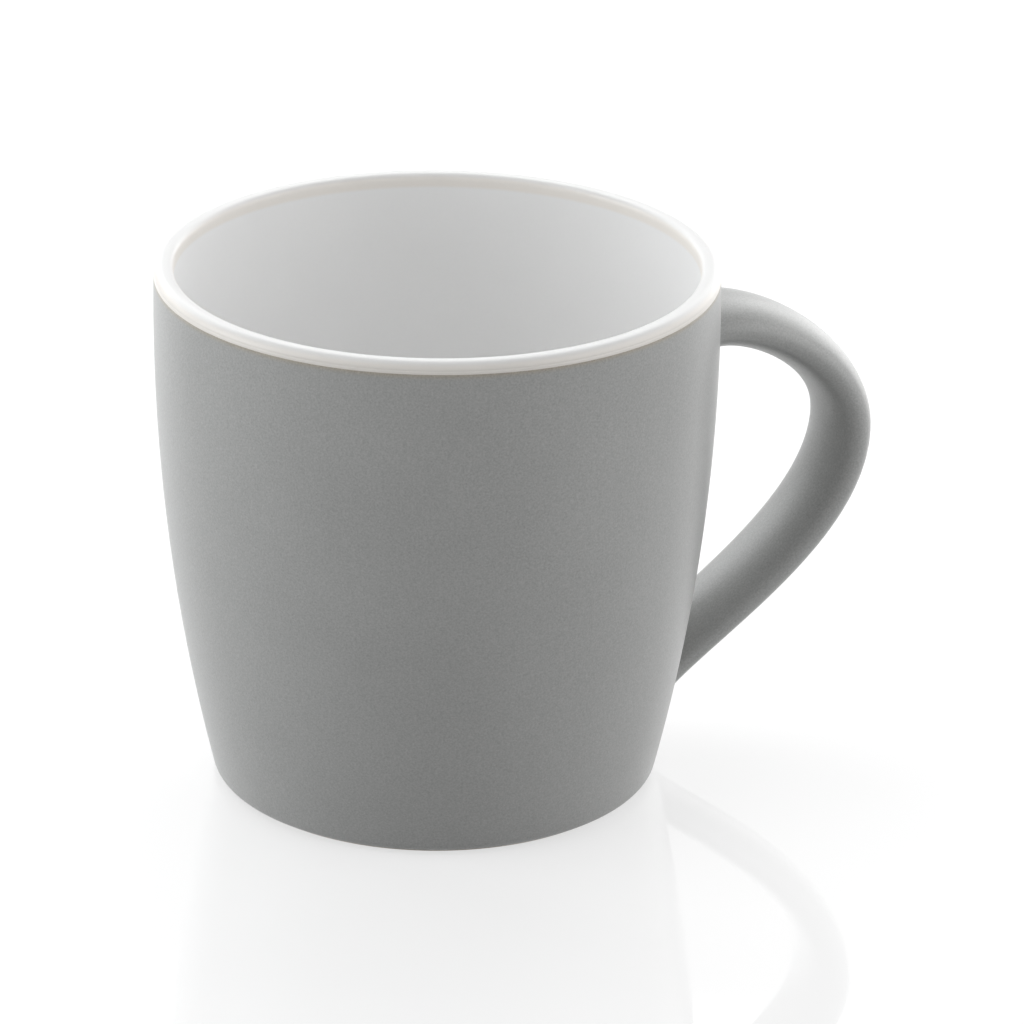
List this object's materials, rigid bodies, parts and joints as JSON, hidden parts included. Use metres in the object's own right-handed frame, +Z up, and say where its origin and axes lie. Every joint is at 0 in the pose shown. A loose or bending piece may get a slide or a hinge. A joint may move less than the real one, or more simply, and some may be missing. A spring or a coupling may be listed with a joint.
{
  "type": "handled mug",
  "caption": "Ceramic mug with a gently curved, tapering cup on a foot ring, a rounded white lip and liner, a matt grey outside and an ear-shaped handle.",
  "frame": {"origin": "on the table, under the middle of the mug's overall box, which lies 14.25 mm from the cup's axis towards the handle", "axes": "+X from the cup's axis towards the handle, in the handle's plane; +Y across the handle; +Z up along the cup's axis"},
  "size_m": [0.1135, 0.0848, 0.0821],
  "materials": {
    "bare_clay": "fired, unglazed",
    "fired_slip": "fired, unglazed",
    "white_glaze": "gloss",
    "grey_glaze": "matt"
  },
  "bodies": {
    "root": {"clay_cup": "bare_clay", "clay_handle": "bare_clay", "upper_luting_slip": "fired_slip", "lower_luting_slip": "fired_slip", "white_liner_glaze": "white_glaze", "grey_outer_glaze": "grey_glaze", "underside_glaze": "grey_glaze"}
  },
  "joints": []
}
